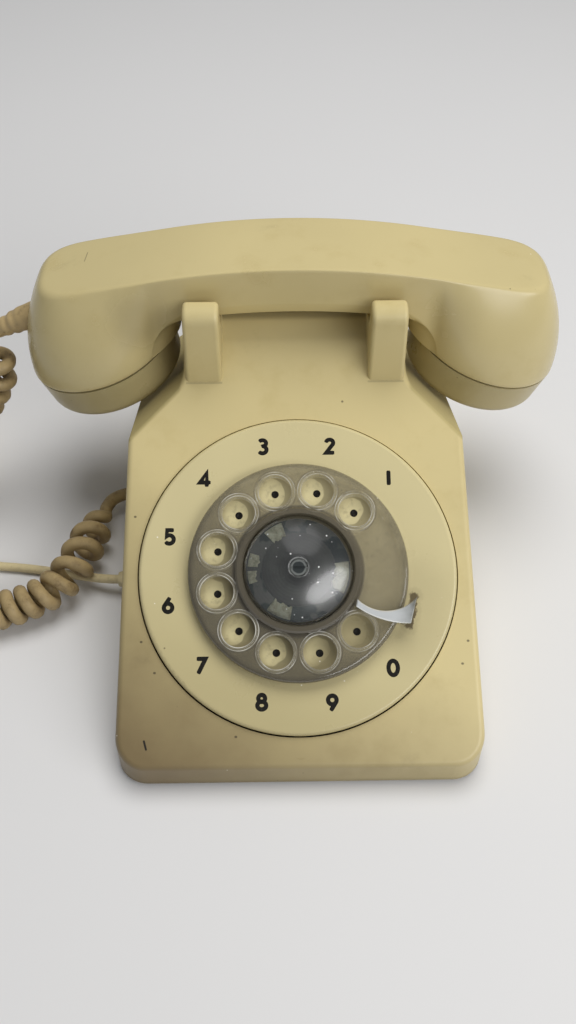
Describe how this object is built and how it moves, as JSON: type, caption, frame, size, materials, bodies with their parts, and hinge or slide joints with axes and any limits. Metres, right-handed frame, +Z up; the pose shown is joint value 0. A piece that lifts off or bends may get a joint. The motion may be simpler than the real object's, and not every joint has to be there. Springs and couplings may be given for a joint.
{
  "type": "rotary telephone",
  "caption": "Rotary desk telephone with a sloping dial face, clear finger wheel, handset resting in a cradle, curly handset cord and coiled line cord.",
  "frame": {"origin": "on the table, under the middle of the object without its cords", "axes": "+X to the right along the handset, +Y away from the user, +Z up"},
  "size_m": [0.32, 0.212, 0.122],
  "materials": {
    "cream": "aged glossy cream plastic",
    "plate_cream": "paler cream plastic",
    "clear": "clear smoky plastic",
    "chrome": "polished chrome",
    "steel": "plated steel",
    "brass": "brass",
    "rubber": "black rubber",
    "black_plastic": "black moulding",
    "gong_brass": "spun bell metal",
    "winding": "varnished winding",
    "tan_cord": "worn tan cord jacket",
    "line_jacket": "pale cream cord jacket",
    "plug_clear": "clear plug plastic",
    "plunger_clear": "clear plunger plastic",
    "tie": "black tie band"
  },
  "bodies": {
    "base": {"housing": "cream", "base_plate": "steel", "foot_front_left": "rubber", "foot_front_right": "rubber", "foot_back_left": "rubber", "foot_back_right": "rubber", "housing_screws": "steel", "number_plate": "plate_cream", "finger_stop": "chrome", "dial_frame": "steel", "dial_rear_plate": "steel", "dial_posts": "brass", "dial_screws": "steel", "governor_cup": "brass", "contact_block": "black_plastic", "pulse_contacts": "brass", "dial_bracket_left": "steel", "dial_bracket_right": "steel", "hook_bracket": "steel", "hook_pivot": "steel", "hook_contacts": "brass", "ringer_frame": "steel", "ringer_coil": "winding", "gong_front": "gong_brass", "gong_back": "gong_brass", "gong_screws": "steel", "network_block": "black_plastic", "network_terminals": "brass", "handset_grommet": "tan_cord", "line_grommet": "line_jacket", "handset_cord": "tan_cord", "line_cord": "line_jacket", "line_cord_coil": "line_jacket", "line_cord_tail": "line_jacket", "coil_tie": "tie", "line_plug": "plug_clear"},
    "dial": {"finger_wheel": "clear", "wheel_hub": "steel", "centre_cap": "clear", "card_plate": "steel", "cap_screw": "steel", "main_shaft": "steel", "main_gear": "brass", "mainspring_barrel": "steel"},
    "pulse_train": {"pulse_shaft": "steel", "pulse_gear": "brass", "pulse_cam": "black_plastic"},
    "governor": {"governor_shaft": "steel", "governor_weights": "brass"},
    "handset": {"handset_body": "cream", "transmitter_cap": "cream", "receiver_cap": "cream", "transmitter_capsule": "steel", "receiver_capsule": "steel", "handset_boot": "tan_cord"},
    "plunger_left": {"plunger_left": "plunger_clear"},
    "plunger_right": {"plunger_right": "plunger_clear"},
    "hook_lever": {"hook_lever": "steel"},
    "clapper": {"clapper": "brass"},
    "volume_wheel": {"volume_wheel": "black_plastic"}
  },
  "joints": [
    {"name": "handset_lift", "type": "slide", "parent": "base", "child": "handset", "axis": [0, 0, 1], "range_m": [0, 0.12], "deforming": ["handset_cord"]},
    {"name": "dial_turn", "type": "hinge", "parent": "base", "child": "dial", "pos_m": [0, -0.0427, 0.04574], "axis": [0, -0.454, 0.891], "range_deg": [-327, 0], "stiffness_Nm_per_rad": 0.004, "springref_deg": 85.94},
    {"name": "pulse_turn", "type": "hinge", "parent": "base", "child": "pulse_train", "pos_m": [0, -0.01854, 0.04458], "axis": [0, -0.454, 0.891], "range_deg": [0, 1963]},
    {"name": "governor_turn", "type": "hinge", "parent": "base", "child": "governor", "pos_m": [0.01409, -0.02175, 0.03958], "axis": [0, -0.454, 0.891], "range_deg": [-7850, 0]},
    {"name": "plunger_left_rise", "type": "slide", "parent": "base", "child": "plunger_left", "axis": [0, 0, 1], "range_m": [0, 0.006]},
    {"name": "plunger_right_rise", "type": "slide", "parent": "base", "child": "plunger_right", "axis": [0, 0, 1], "range_m": [0, 0.006]},
    {"name": "hook_turn", "type": "hinge", "parent": "base", "child": "hook_lever", "pos_m": [0, 0.028, 0.066], "axis": [1, 0, 0], "range_deg": [0, 12.6]},
    {"name": "clapper_swing", "type": "hinge", "parent": "base", "child": "clapper", "pos_m": [0.014, 0.048, 0.012], "axis": [0, 0, 1], "range_deg": [-3.5, 3.5]},
    {"name": "volume_turn", "type": "hinge", "parent": "base", "child": "volume_wheel", "pos_m": [0.05, 0.048, 0.002], "axis": [0, 0, 1], "range_deg": [-120, 120]}
  ],
  "couplings": [
    {"joint": "pulse_turn", "follows": "dial_turn", "ratio": -6},
    {"joint": "governor_turn", "follows": "dial_turn", "ratio": 24},
    {"joint": "plunger_left_rise", "follows": "handset_lift", "ratio": 0.05},
    {"joint": "plunger_right_rise", "follows": "handset_lift", "ratio": 0.05},
    {"joint": "hook_turn", "follows": "handset_lift", "rad_per_m": 1.8167}
  ]
}
